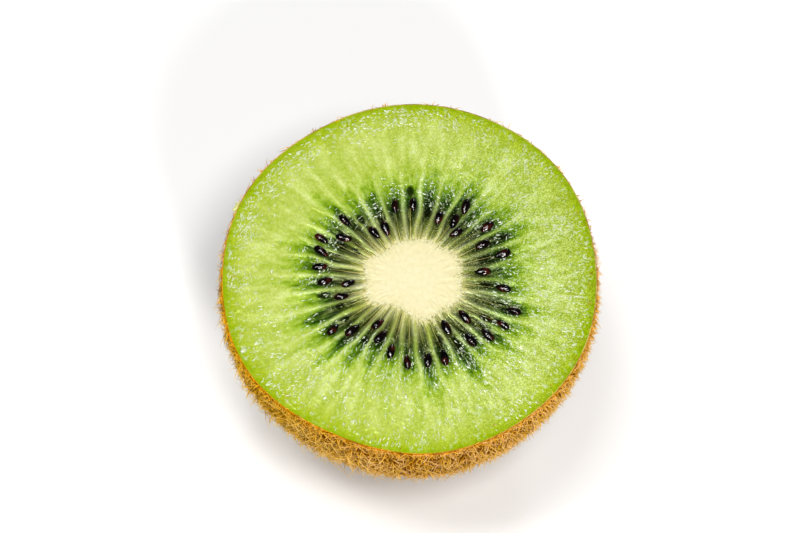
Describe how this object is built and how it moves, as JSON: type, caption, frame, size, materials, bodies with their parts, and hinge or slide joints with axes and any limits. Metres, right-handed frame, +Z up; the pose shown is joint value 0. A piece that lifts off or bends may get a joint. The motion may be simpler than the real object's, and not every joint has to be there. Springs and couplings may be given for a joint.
{
  "type": "kiwifruit half",
  "caption": "Half a fresh kiwifruit, cut across, standing on its rounded fuzzy end with the green cut face, pale core and dark seeds up.",
  "frame": {"origin": "on the surface that the half stands on, under the middle of its outline", "axes": "+Z up, square to the level cut face; -Y towards the viewer of the picture; +X to the right"},
  "size_m": [0.0518, 0.052, 0.0323],
  "materials": {
    "flesh": "moist green flesh",
    "core": "moist cream core",
    "skin": "thin brown skin with short golden hair",
    "seed": "shiny near-black seed coat"
  },
  "bodies": {
    "root": {"flesh": "flesh", "core": "core"}
  },
  "joints": []
}
